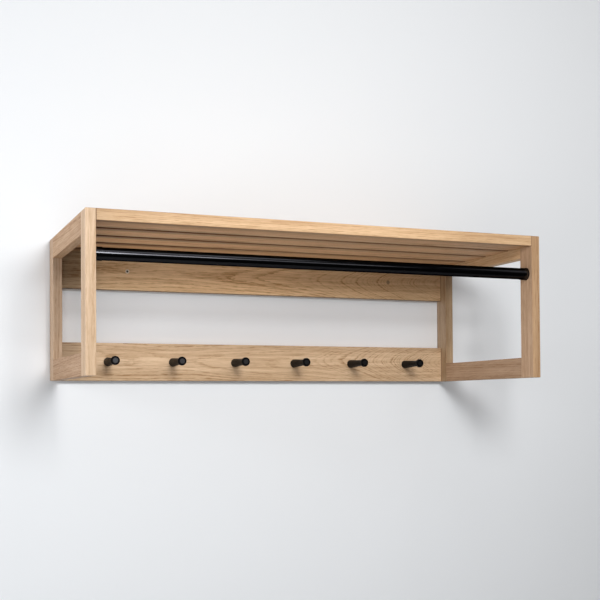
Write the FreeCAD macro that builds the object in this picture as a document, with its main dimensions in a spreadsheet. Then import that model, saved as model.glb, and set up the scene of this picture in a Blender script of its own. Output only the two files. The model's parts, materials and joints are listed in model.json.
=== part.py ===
import FreeCAD, Part
import Sketcher
import os
import re

# Slatted wall shelf with a hanging rail and a row of pegs, in millimetres.
# X runs to the right, +Y runs into the wall and +Z is up. The wall is the plane y = 0 and the
# shelf stands out from it towards -Y. The origin lies on the wall plane, midway between the
# two wall screw holes, which are at half the height of the upper board.

SIZES = {
    # Whole shelf
    "shelf_width": 1000,
    "shelf_depth": 420,
    "shelf_height": 312,
    # Side frames: posts and rails of one section
    "frame_thickness": 20,
    "member_width": 45,
    # Shelf surface
    "slat_thickness": 22,
    "slat_gap": 14,
    # Boards on the wall
    "board_thickness": 20,
    "board_height": 85,
    # Eased edges of every wooden piece
    "edge_radius": 1.2,
    # Wooden dowels
    "dowel_diameter": 6,
    "dowel_length": 30,
    "dowel_seat": 12,
    "dowel_chamfer": 0.8,
    "dowel_play": 0.05,
    "hole_end_gap": 0.5,
    # Wall screw holes in the upper board
    "wall_hole_inset": 150,
    "wall_hole_diameter": 5.5,
    "wall_countersink_diameter": 10,
    # Hanging rail and the sockets at its ends
    "rail_diameter": 25,
    "rail_wall": 1.5,
    "rail_drop": 82,
    "rail_end_gap": 0.3,
    "socket_floor": 3.5,
    "socket_depth": 15,
    "socket_wall": 0.7,
    "socket_flange_width": 0.3,
    "socket_groove_width": 1.4,
    "socket_groove_depth": 0.3,
    "socket_play": 0.05,
    "socket_screw_diameter": 3.5,
    "socket_screw_head_diameter": 7,
    "socket_screw_length": 18,
    # Pegs and the screws that hold them from behind the lower board
    "peg_inset": 105,
    "peg_length": 80,
    "peg_base_diameter": 19.5,
    "peg_neck_diameter": 12.5,
    "peg_head_diameter": 20,
    "peg_head_thickness": 6,
    "peg_flare_length": 2.5,
    "peg_rim_radius": 2.4,
    "peg_back_rim_radius": 1,
    "peg_screw_diameter": 4,
    "peg_screw_head_diameter": 8,
    "peg_screw_head_height": 3,
    "peg_screw_grip": 16,
    "peg_recess_diameter": 10,
    "peg_recess_depth": 4.5,
    # Cross slots in the screws, and the room around shanks and beyond cuts
    "cross_slot_width": 1,
    "cross_slot_depth": 1.2,
    "screw_play": 0.1,
    "cut_overrun": 1,
}
SLAT_COUNT = 4
PEG_COUNT = 6

# Places that several pieces share
TOP = "(slat_thickness + board_height / 2)"
BOTTOM = f"({TOP} - shelf_height)"
FRONT = "-shelf_depth"
INNER_WIDTH = "(shelf_width - 2 * frame_thickness)"
INNER_X = {"left": f"-{INNER_WIDTH} / 2", "right": f"{INNER_WIDTH} / 2"}
FRAME_X = {"left": "-shelf_width / 2", "right": INNER_X["right"]}
OUTWARD = {"left": -1, "right": 1}
MEMBER_BOTTOM = {"lower": BOTTOM, "upper": f"({TOP} - member_width)"}
POST_Y = {"front": FRONT, "rear": "-member_width"}
JOINT_Y = {"front": f"({FRONT} + member_width)", "rear": "-member_width"}
BOARD_BOTTOM = {"lower": BOTTOM, "upper": "-board_height / 2"}
SLAT_PITCH = f"((shelf_depth - member_width) / {SLAT_COUNT})"
SLAT_WIDTH = f"({SLAT_PITCH} - slat_gap)"
SLAT_Z = f"({TOP} - slat_thickness)"
HANGING_RAIL_Y = f"({FRONT} + member_width / 2)"
HANGING_RAIL_Z = f"({TOP} - rail_drop)"
PEG_Z = f"({BOTTOM} + board_height / 2)"
PEG_PITCH = f"(({INNER_WIDTH} - 2 * peg_inset) / ({PEG_COUNT} - 1))"

# Dowels as shares of the width of the wood that they join
FRAME_DOWEL_SHARES = (0.22, 0.78)
SLAT_DOWEL_SHARES = (0.15, 0.85)
REAR_SLAT_DOWEL_SHARES = (0.5,)
BOARD_DOWEL_SHARES = (0.2, 0.8)
# The groove between a socket's flange and its collar, as a share of the collar's length
SOCKET_GROOVE_SHARE = 0.3
# A cross slot's length as a share of the head's diameter
CROSS_SLOT_SHARE = 0.6
# How nearly alike two lengths are that count as one, as a share
SAME_SHARE = 0.001

AXES = {"X": FreeCAD.Vector(1, 0, 0), "Y": FreeCAD.Vector(0, 1, 0), "Z": FreeCAD.Vector(0, 0, 1)}
GRAIN_PLANES = {"X": "YZ_Plane", "Y": "XZ_Plane", "Z": "XY_Plane"}
TURNS = {axis: FreeCAD.Rotation(AXES["Z"], AXES[axis]) for axis in "XY"}

document = FreeCAD.newDocument("wall_shelf")
sheet = document.addObject("Spreadsheet::Sheet", "Sizes")
for row, (alias, value) in enumerate(SIZES.items(), start=1):
    sheet.set(f"A{row}", alias)
    sheet.set(f"B{row}", str(value))
    sheet.setAlias(f"B{row}", alias)
document.recompute()

# Every finished sub-part, by the name of its node
nodes = {}


def expression(text):
    """Writes a formula of size names as an expression that reads the sheet."""
    return re.sub(r"[a-z][a-z_]+", lambda name: "Sizes." + name.group(), text)


def bind(item, **formulas):
    """Ties properties of a document object to formulas; two underscores stand for a dot."""
    for path, text in formulas.items():
        item.setExpression(path.replace("__", "."), expression(text))


def move(item, x, y, z):
    """Ties an object's place to formulas."""
    bind(item, Placement__Base__x=x, Placement__Base__y=y, Placement__Base__z=z)
    return item


def finish(item, name):
    """Takes a document object as the finished sub-part of that name."""
    item.Label = name
    nodes[name] = item


def compound(name, pieces):
    """Collects separate solids in one object."""
    item = document.addObject("Part::Compound", name)
    item.Links = pieces
    return item


def signed(text, sense):
    """Gives a formula its sign."""
    return text if sense > 0 or text == "0" else f"-({text})"


def origin_plane(body, role):
    """Finds one of a body's own origin planes."""
    return next(item for item in body.Origin.OriginFeatures if item.Role == role)


def outline_sketch(body, role, points):
    """Draws a closed outline of straight lines through points given as pairs of formulas."""
    sketch = body.newObject("Sketcher::SketchObject", body.Name + "_sketch")
    sketch.AttachmentSupport = [(origin_plane(body, role), "")]
    sketch.MapMode = "FlatFace"
    corners = []
    for pair in points:
        first, second = (float(sheet.evalExpression(text)) for text in pair)
        corners.append(FreeCAD.Vector(first, second, 0))
    for start, stop in zip(corners, corners[1:] + corners[:1]):
        sketch.addGeometry(Part.LineSegment(start, stop))
    for line, (pair, corner) in enumerate(zip(points, corners)):
        following = (line + 1) % len(points)
        sketch.addConstraint(Sketcher.Constraint("Coincident", line, 2, following, 1))
        for kind, text, place, axis in zip(("DistanceX", "DistanceY"), pair, corner, (-2, -1)):
            if text == "0":
                sketch.addConstraint(Sketcher.Constraint("PointOnObject", line, 1, axis))
                continue
            index = sketch.addConstraint(Sketcher.Constraint(kind, line, 1, place))
            sketch.setExpression(f"Constraints[{index}]", expression(text))
    return sketch


def edges_along(shape, axes):
    """Names the edges of a box that run along any of the axes."""
    names = []
    for index, edge in enumerate(shape.Edges, start=1):
        run = edge.Vertexes[-1].Point - edge.Vertexes[0].Point
        if any(run.cross(AXES[axis]).Length < run.Length / 2 for axis in axes):
            names.append(f"Edge{index}")
    return names


def wooden_bar(name, grain, size, corner, eased_axes):
    """Makes a bar whose grain runs along X, Y or Z, with the edges along some axes eased."""
    body = document.addObject("PartDesign::Body", name + "_bar")
    width, height = (extent for axis, extent in zip("XYZ", size) if axis != grain)
    section = [("0", "0"), (width, "0"), (width, height), ("0", height)]
    pad = body.newObject("PartDesign::Pad", name + "_pad")
    pad.Profile = outline_sketch(body, GRAIN_PLANES[grain], section)
    pad.Reversed = grain == "Y"
    bind(pad, Length=size["XYZ".index(grain)])
    document.recompute()
    eased = body.newObject("PartDesign::Fillet", name + "_eased")
    eased.Base = (pad, edges_along(pad.Shape, eased_axes))
    bind(eased, Radius="edge_radius")
    body.Tip = eased
    return move(body, *corner)


def turned(name, axis, outline, place, sense=1):
    """Turns an outline of (distance along, radius) pairs about X or Y through a place."""
    body = document.addObject("PartDesign::Body", name)
    points = [(signed(along, sense), radius) for along, radius in outline]
    if axis == "Y":
        points = [(radius, along) for along, radius in points]
    sketch = outline_sketch(body, "XY_Plane", points)
    revolution = body.newObject("PartDesign::Revolution", name + "_revolution")
    revolution.Profile = sketch
    revolution.ReferenceAxis = (sketch, ["V_Axis" if axis == "Y" else "H_Axis"])
    body.Tip = revolution
    return move(body, *place)


def hole(axis, diameter, start, length):
    """Makes the cylinder that a hole along X or Y takes away, from its lower end."""
    cylinder = document.addObject("Part::Cylinder", "hole")
    cylinder.Placement.Rotation = TURNS[axis]
    bind(cylinder, Radius=f"({diameter}) / 2", Height=length)
    return move(cylinder, *start)


def drilled(name, stock, tools):
    """Cuts the tools out of a bar and finishes the sub-part."""
    cut = document.addObject("Part::Cut", name + "_drilled")
    cut.Base = stock
    cut.Tool = compound(name + "_holes", tools)
    finish(cut, name)


def dowel(name, axis, joint, seat):
    """Makes a chamfered dowel that starts a seat's length before a joint, and its hole."""
    radius = "dowel_diameter / 2"
    outline = [
        ("0", "0"),
        ("0", f"{radius} - dowel_chamfer"),
        ("dowel_chamfer", radius),
        ("dowel_length - dowel_chamfer", radius),
        ("dowel_length", f"{radius} - dowel_chamfer"),
        ("dowel_length", "0"),
    ]
    shift = "XYZ".index(axis)
    pin_start = list(joint)
    pin_start[shift] = f"{joint[shift]} - ({seat})"
    hole_start = list(joint)
    hole_start[shift] = f"{joint[shift]} - ({seat}) - hole_end_gap"
    pin = turned(name, axis, outline, pin_start)
    bore = hole(axis, "dowel_diameter + 2 * dowel_play", hole_start, "dowel_length + 2 * hole_end_gap")
    return pin, bore


def cross_slotted(name, axis, screw, head_diameter, face, sense):
    """Cuts a cross slot into a screw's head, whose face is at a place on its axis."""
    slots = []
    length = f"{head_diameter} * {CROSS_SLOT_SHARE}"
    depth = "(cross_slot_depth + cut_overrun)"
    shift = "XYZ".index(axis)
    for long_axis in (item for item in "XYZ" if item != axis):
        slot = document.addObject("Part::Box", name + "_slot")
        extents = {item: "cross_slot_width" for item in "XYZ"}
        extents[long_axis] = length
        extents[axis] = depth
        bind(slot, Length=extents["X"], Width=extents["Y"], Height=extents["Z"])
        corner = [f"{place} - {extents[item]} / 2" for item, place in zip("XYZ", face)]
        inner_end = "cross_slot_depth" if sense > 0 else "cut_overrun"
        corner[shift] = f"{face[shift]} - {inner_end}"
        slots.append(move(slot, *corner))
    cut = document.addObject("Part::Cut", name + "_driven")
    cut.Base = screw
    cut.Tool = compound(name + "_slots", slots)
    return cut


def make_dowels():
    """Makes the dowels of all joints as groups, and returns the holes that they need."""
    holes = []
    for side in ("left", "right"):
        middle_x = f"({FRAME_X[side]} + frame_thickness / 2)"
        seat = "dowel_seat" if side == "left" else "dowel_length - dowel_seat"
        groups = {"frame": [], "slat": [], "board": []}
        for level, bottom in MEMBER_BOTTOM.items():
            free_height = "(member_width - slat_thickness)" if level == "upper" else "member_width"
            for joint_y in JOINT_Y.values():
                for share in FRAME_DOWEL_SHARES:
                    joint = (middle_x, joint_y, f"{bottom} + {free_height} * {share}")
                    groups["frame"].append(dowel("frame_dowel", "Y", joint, "dowel_length / 2"))
        for number in range(SLAT_COUNT + 1):
            last = number == SLAT_COUNT
            shares = REAR_SLAT_DOWEL_SHARES if last else SLAT_DOWEL_SHARES
            width = "member_width" if last else SLAT_WIDTH
            for share in shares:
                y = f"{FRONT} + {SLAT_PITCH} * {number} + {width} * {share}"
                joint = (INNER_X[side], y, f"{SLAT_Z} + slat_thickness / 2")
                groups["slat"].append(dowel("slat_dowel", "X", joint, seat))
        for bottom in BOARD_BOTTOM.values():
            for share in BOARD_DOWEL_SHARES:
                joint = (INNER_X[side], "-board_thickness / 2", f"{bottom} + board_height * {share}")
                groups["board"].append(dowel("board_dowel", "X", joint, seat))
        for kind, pairs in groups.items():
            name = f"{side}_{kind}_dowels"
            finish(compound(name + "_group", [pin for pin, bore in pairs]), name)
            holes += [bore for pin, bore in pairs]
    return holes


def make_frames(dowel_holes, socket_screw_holes):
    """Makes the two side frames: two posts each, with a rail between them at top and bottom."""
    for side, corner_x in FRAME_X.items():
        for place, y in POST_Y.items():
            name = f"{side}_{place}_post"
            size = ("frame_thickness", "member_width", "shelf_height")
            stock = wooden_bar(name, "Z", size, (corner_x, y, BOTTOM), "XYZ")
            screw_holes = [socket_screw_holes[side]] if place == "front" else []
            drilled(name, stock, dowel_holes + screw_holes)
        for level, z in MEMBER_BOTTOM.items():
            name = f"{side}_{level}_frame_rail"
            size = ("frame_thickness", "shelf_depth - 2 * member_width", "member_width")
            stock = wooden_bar(name, "Y", size, (corner_x, JOINT_Y["front"], z), "Y")
            drilled(name, stock, dowel_holes)


def make_slats(dowel_holes):
    """Makes the equal slats from the front back, and a narrow one over the upper board."""
    for number in range(SLAT_COUNT):
        name = f"shelf_slat_{number + 1}"
        corner = (INNER_X["left"], f"{FRONT} + {SLAT_PITCH} * {number}", SLAT_Z)
        stock = wooden_bar(name, "X", (INNER_WIDTH, SLAT_WIDTH, "slat_thickness"), corner, "X")
        drilled(name, stock, dowel_holes)
    corner = (INNER_X["left"], "-member_width", SLAT_Z)
    stock = wooden_bar("rear_slat", "X", (INNER_WIDTH, "member_width", "slat_thickness"), corner, "X")
    drilled("rear_slat", stock, dowel_holes)


def make_boards(dowel_holes, peg_places):
    """Makes the upper board with its wall screw holes and the lower board that holds the pegs."""
    wall_holes = []
    for side in ("left", "right"):
        x = f"{INNER_X[side]} + {signed('wall_hole_inset', -OUTWARD[side])}"
        start = (x, "-board_thickness - cut_overrun", "0")
        wall_holes.append(hole("Y", "wall_hole_diameter", start, "board_thickness + 2 * cut_overrun"))
        countersink = document.addObject("Part::Cone", "countersink")
        countersink.Placement.Rotation = TURNS["Y"]
        bind(countersink, Radius1="wall_countersink_diameter / 2", Radius2="wall_hole_diameter / 2")
        bind(countersink, Height="(wall_countersink_diameter - wall_hole_diameter) / 2")
        wall_holes.append(move(countersink, x, "-board_thickness", "0"))
    peg_holes = []
    for x, y, z in peg_places:
        through = (x, f"{y} - cut_overrun", z)
        length = "board_thickness + 2 * cut_overrun"
        peg_holes.append(hole("Y", "peg_screw_diameter + 2 * screw_play", through, length))
        recess = (x, "-peg_recess_depth", z)
        peg_holes.append(hole("Y", "peg_recess_diameter", recess, "peg_recess_depth + cut_overrun"))
    for level, tools in (("upper", wall_holes), ("lower", peg_holes)):
        name = {"upper": "upper_board", "lower": "peg_board"}[level]
        corner = (INNER_X["left"], "-board_thickness", BOARD_BOTTOM[level])
        size = (INNER_WIDTH, "board_thickness", "board_height")
        stock = wooden_bar(name, "X", size, corner, "X")
        drilled(name, stock, dowel_holes + tools)


def round_rim(peg, name, distance, radius, rounding):
    """Rounds the circle of a given radius that lies at a distance along a peg."""
    wanted = [float(sheet.evalExpression(item)) for item in (distance, radius)]
    base = peg.Tip
    for index, edge in enumerate(base.Shape.Edges, start=1):
        if not isinstance(edge.Curve, Part.Circle):
            continue
        found = (-edge.Curve.Center.y, edge.Curve.Radius)
        if all(abs(one / other - 1) < SAME_SHARE for one, other in zip(found, wanted)):
            rim = peg.newObject("PartDesign::Fillet", name)
            rim.Base = (base, [f"Edge{index}"])
            bind(rim, Radius=rounding)
            peg.Tip = rim
            document.recompute()
            return
    raise RuntimeError(f"{name} found no edge")


def make_pegs(peg_places):
    """Makes the tapered pegs with their round heads, and the group of screws that hold them."""
    screw_hole_radius = "(peg_screw_diameter / 2 + screw_play)"
    hole_end = "(peg_screw_grip + hole_end_gap)"
    head_back = "(peg_length - peg_head_thickness)"
    outline = [
        ("0", screw_hole_radius),
        ("0", "peg_base_diameter / 2"),
        (f"{head_back} - peg_flare_length", "peg_neck_diameter / 2"),
        (head_back, "peg_head_diameter / 2"),
        ("peg_length", "peg_head_diameter / 2"),
        ("peg_length", "0"),
        (hole_end, "0"),
        (hole_end, screw_hole_radius),
    ]
    screw_length = "(peg_screw_head_height + board_thickness - peg_recess_depth + peg_screw_grip)"
    screw_outline = [
        ("0", "0"),
        ("0", "peg_screw_head_diameter / 2"),
        ("peg_screw_head_height", "peg_screw_head_diameter / 2"),
        ("peg_screw_head_height", "peg_screw_diameter / 2"),
        (screw_length, "peg_screw_diameter / 2"),
        (screw_length, "0"),
    ]
    screws = []
    for number, place in enumerate(peg_places, start=1):
        peg = turned(f"peg_{number}_body", "Y", outline, place, sense=-1)
        document.recompute()
        round_rim(peg, "front_rim", "peg_length", "peg_head_diameter / 2", "peg_rim_radius")
        round_rim(peg, "back_rim", head_back, "peg_head_diameter / 2", "peg_back_rim_radius")
        finish(peg, f"peg_{number}")
        face = (place[0], "-peg_recess_depth + peg_screw_head_height", place[2])
        screw = turned(f"peg_screw_{number}", "Y", screw_outline, face, sense=-1)
        screws.append(cross_slotted(f"peg_screw_{number}", "Y", screw, "peg_screw_head_diameter", face, 1))
    finish(compound("peg_screw_group", screws), "peg_screws")


def make_hanging_rail():
    """Makes the tube, the cups that hold its ends, their screws and the screws' pilot holes."""
    end_gap = "(socket_floor + rail_end_gap)"
    length = f"({INNER_WIDTH} - 2 * {end_gap})"
    outer = "rail_diameter / 2"
    inner = "rail_diameter / 2 - rail_wall"
    outline = [("0", inner), ("0", outer), (length, outer), (length, inner)]
    start = (f"{INNER_X['left']} + {end_gap}", HANGING_RAIL_Y, HANGING_RAIL_Z)
    finish(turned("hanging_rail_body", "X", outline, start), "hanging_rail")
    bore = "(rail_diameter / 2 + socket_play)"
    collar = f"({bore} + socket_wall)"
    flange = f"({collar} + socket_flange_width)"
    groove = f"(socket_floor + (socket_depth - socket_floor) * {SOCKET_GROOVE_SHARE})"
    groove_end = f"({groove} + socket_groove_width)"
    screw_hole = "(socket_screw_diameter / 2 + screw_play)"
    countersink = "(socket_screw_head_diameter / 2 + screw_play)"
    socket_outline = [
        ("0", screw_hole),
        ("0", flange),
        ("socket_floor", flange),
        ("socket_floor", collar),
        (groove, collar),
        (groove, f"{collar} - socket_groove_depth"),
        (groove_end, f"{collar} - socket_groove_depth"),
        (groove_end, collar),
        ("socket_depth", collar),
        ("socket_depth", bore),
        ("socket_floor", bore),
        ("socket_floor", countersink),
        (f"socket_floor - ({countersink} - {screw_hole})", screw_hole),
    ]
    head_depth = "((socket_screw_head_diameter - socket_screw_diameter) / 2)"
    screw_outline = [
        ("0", "0"),
        ("0", "socket_screw_head_diameter / 2"),
        (head_depth, "socket_screw_diameter / 2"),
        ("socket_screw_length", "socket_screw_diameter / 2"),
        ("socket_screw_length", "0"),
    ]
    pilot_length = "(socket_screw_length - socket_floor + hole_end_gap)"
    screws = []
    pilot_holes = {}
    for side, outward in OUTWARD.items():
        foot = (INNER_X[side], HANGING_RAIL_Y, HANGING_RAIL_Z)
        socket = turned(f"{side}_socket_body", "X", socket_outline, foot, sense=-outward)
        finish(socket, f"{side}_rail_socket")
        head_x = f"{INNER_X[side]} + {signed('socket_floor', -outward)}"
        face = (head_x, HANGING_RAIL_Y, HANGING_RAIL_Z)
        name = f"{side}_socket_screw"
        screw = turned(name, "X", screw_outline, face, sense=outward)
        screws.append(cross_slotted(name, "X", screw, "socket_screw_head_diameter", face, -outward))
        pilot_x = INNER_X[side] if outward > 0 else f"{INNER_X[side]} - {pilot_length}"
        start = (pilot_x, HANGING_RAIL_Y, HANGING_RAIL_Z)
        pilot_holes[side] = hole("X", "socket_screw_diameter + 2 * screw_play", start, pilot_length)
    finish(compound("socket_screw_group", screws), "socket_screws")
    return pilot_holes


def check_document():
    """Stops the script if an object failed or a sub-part is missing its solid."""
    for item in document.Objects:
        if {"Invalid", "Error"} & set(item.State):
            raise RuntimeError(f"{item.Label} failed: {item.State}")
    for name, item in nodes.items():
        shape = item.Shape
        if shape.isNull() or not shape.isValid() or not shape.Solids:
            raise RuntimeError(f"{name} has no valid solid")


peg_centres = []
for peg_number in range(PEG_COUNT):
    peg_x = f"{INNER_X['left']} + peg_inset + {peg_number} * {PEG_PITCH}"
    peg_centres.append((peg_x, "-board_thickness", PEG_Z))
wood_dowel_holes = make_dowels()
make_frames(wood_dowel_holes, make_hanging_rail())
make_slats(wood_dowel_holes)
make_boards(wood_dowel_holes, peg_centres)
make_pegs(peg_centres)
document.recompute()
check_document()

os.makedirs("parts", exist_ok=True)
for node_name, sub_part in nodes.items():
    sub_part.Shape.exportStep(f"parts/{node_name}.step")
    solids = sub_part.Shape.Solids
    print(node_name, len(solids), "solids", round(sub_part.Shape.Volume), "mm3")
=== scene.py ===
import json
import math

import bpy
from mathutils import Matrix, Vector


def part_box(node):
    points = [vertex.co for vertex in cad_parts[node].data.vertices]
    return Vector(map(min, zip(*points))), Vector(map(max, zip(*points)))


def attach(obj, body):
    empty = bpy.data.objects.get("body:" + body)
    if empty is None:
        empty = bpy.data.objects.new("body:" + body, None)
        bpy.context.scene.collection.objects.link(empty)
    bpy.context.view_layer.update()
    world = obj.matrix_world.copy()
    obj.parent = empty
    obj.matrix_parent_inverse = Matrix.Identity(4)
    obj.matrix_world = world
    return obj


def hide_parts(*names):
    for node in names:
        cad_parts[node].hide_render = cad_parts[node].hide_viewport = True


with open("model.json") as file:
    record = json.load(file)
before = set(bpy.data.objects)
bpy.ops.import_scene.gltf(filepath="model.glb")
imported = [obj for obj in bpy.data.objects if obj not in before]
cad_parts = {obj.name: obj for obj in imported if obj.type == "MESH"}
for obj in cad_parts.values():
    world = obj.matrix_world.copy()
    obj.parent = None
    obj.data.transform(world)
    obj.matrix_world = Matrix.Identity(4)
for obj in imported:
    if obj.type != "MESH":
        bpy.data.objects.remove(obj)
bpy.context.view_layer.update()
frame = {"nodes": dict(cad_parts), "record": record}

# Oak wall shelf with a slatted top, a black hanging rail and six black pegs. Everything is in
# metres, in the frame of the part: X to the right, +Y into the wall, Z up, origin on the wall.

MM = 0.001
BODY = "root"


# Helpers for node trees

def fill_inputs(tree, node, inputs):
    """Sets or links a node's inputs, by name or number."""
    for name, value in inputs.items():
        if isinstance(value, bpy.types.NodeSocket):
            tree.links.new(value, node.inputs[name])
        else:
            node.inputs[name].default_value = value


def add(tree, kind, inputs=None, **settings):
    """Adds a node with its settings and inputs."""
    made = tree.nodes.new(kind)
    for name, value in settings.items():
        setattr(made, name, value)
    fill_inputs(tree, made, inputs or {})
    return made


def calc(tree, operation, *values):
    """Works out one number from others."""
    return add(tree, "ShaderNodeMath", dict(enumerate(values)), operation=operation).outputs[0]


def vector_calc(tree, operation, first, second):
    """Works out one vector from two others."""
    return add(tree, "ShaderNodeVectorMath", {0: first, 1: second}, operation=operation).outputs[0]


def vector_of(tree, x=0.0, y=0.0, z=0.0):
    """Makes a vector from three numbers, each a value or a socket."""
    return add(tree, "ShaderNodeCombineXYZ", {"X": x, "Y": y, "Z": z}).outputs[0]


def axis_of(tree, vector, axis):
    """Takes the part of a vector along one axis."""
    return add(tree, "ShaderNodeSeparateXYZ", {0: vector}).outputs[axis]


def weighted_sum(tree, start, *parts):
    """Adds some values to a start, each by its share."""
    total = start
    for value, share in parts:
        total = calc(tree, "ADD", total, calc(tree, "MULTIPLY", value, share))
    return total


def new_group(name, kind, inputs, outputs):
    """Starts a node group with named inputs and outputs, and returns it with both ends."""
    tree = bpy.data.node_groups.new(name, kind)
    for label, (socket, default) in inputs.items():
        made = tree.interface.new_socket(label, in_out="INPUT", socket_type="NodeSocket" + socket)
        if default is not None:
            made.default_value = default
    for label, socket in outputs.items():
        tree.interface.new_socket(label, in_out="OUTPUT", socket_type="NodeSocket" + socket)
    given = tree.nodes.new("NodeGroupInput").outputs
    result = tree.nodes.new("NodeGroupOutput").inputs
    return tree, given, result


def link(tree, source, target):
    """Joins an output to an input."""
    tree.links.new(source, target)


# Shader groups: what oak and black coatings show

def stretched_noise(tree, vector, scale, detail):
    """Makes noise that is stretched by a different scale along each axis."""
    spread = vector_calc(tree, "MULTIPLY", vector, scale)
    return add(tree, "ShaderNodeTexNoise", {"Vector": spread, "Scale": 1.0, "Detail": detail})


def ramp(tree, value, low, high, to_low=0.0, to_high=1.0):
    """Maps a value smoothly from one span to another, and no further."""
    settings = {"Value": value, "From Min": low, "From Max": high, "To Min": to_low, "To Max": to_high}
    return add(tree, "ShaderNodeMapRange", settings, interpolation_type="SMOOTHSTEP").outputs[0]


def blend_colours(tree, share, first, second, blend="MIX"):
    """Mixes two colours by a share."""
    made = add(tree, "ShaderNodeMix", {0: share, 6: first, 7: second}, data_type="RGBA", blend_type=blend)
    return made.outputs[2]


# The wander of the rings: the noise's scale along and across the grain, its detail and its share
RING_WANDERS = (((2.6, 7.0, 7.0), 1.0, 2.0), ((9.0, 45.0, 45.0), 2.0, 0.4),
                ((70.0, 330.0, 330.0), 1.0, 0.16))
# What is drawn out along the grain: the noise's scale, its detail and the span that is taken of it
GRAIN_NOISE = {
    "fibres": ((16.0, 420.0, 420.0), 3.0, (0.33, 0.67)),
    "streaks": ((2.4, 110.0, 110.0), 3.0, (0.33, 0.67)),
    "dashes": ((48.0, 620.0, 620.0), 1.0, (0.42, 0.62)),
    "clouds": ((3.0, 12.0, 12.0), 2.0, (0.3, 0.7)),
    "holes": ((110.0, 2400.0, 2400.0), 1.0, (0.56, 0.68)),
    "rays": ((160.0, 900.0, 2600.0), 0.0, (0.66, 0.74)),
}
RING_UNEVENNESS, RING_UNEVEN_RATE = 1.6, 0.35
RING_START, RING_FADE = (0.0, 0.08), (0.1, 0.6)
# How much each kind of mark darkens the wood
MARK_SHARES = {"rings": 0.6, "streaks": 0.26, "fibres": 0.26, "dashes": 0.12, "pores": 0.3, "rays": 0.12}
CLOUD_COLOURS = (0.93, 0.92, 0.9, 1), (1.05, 1.06, 1.08, 1)


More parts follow.
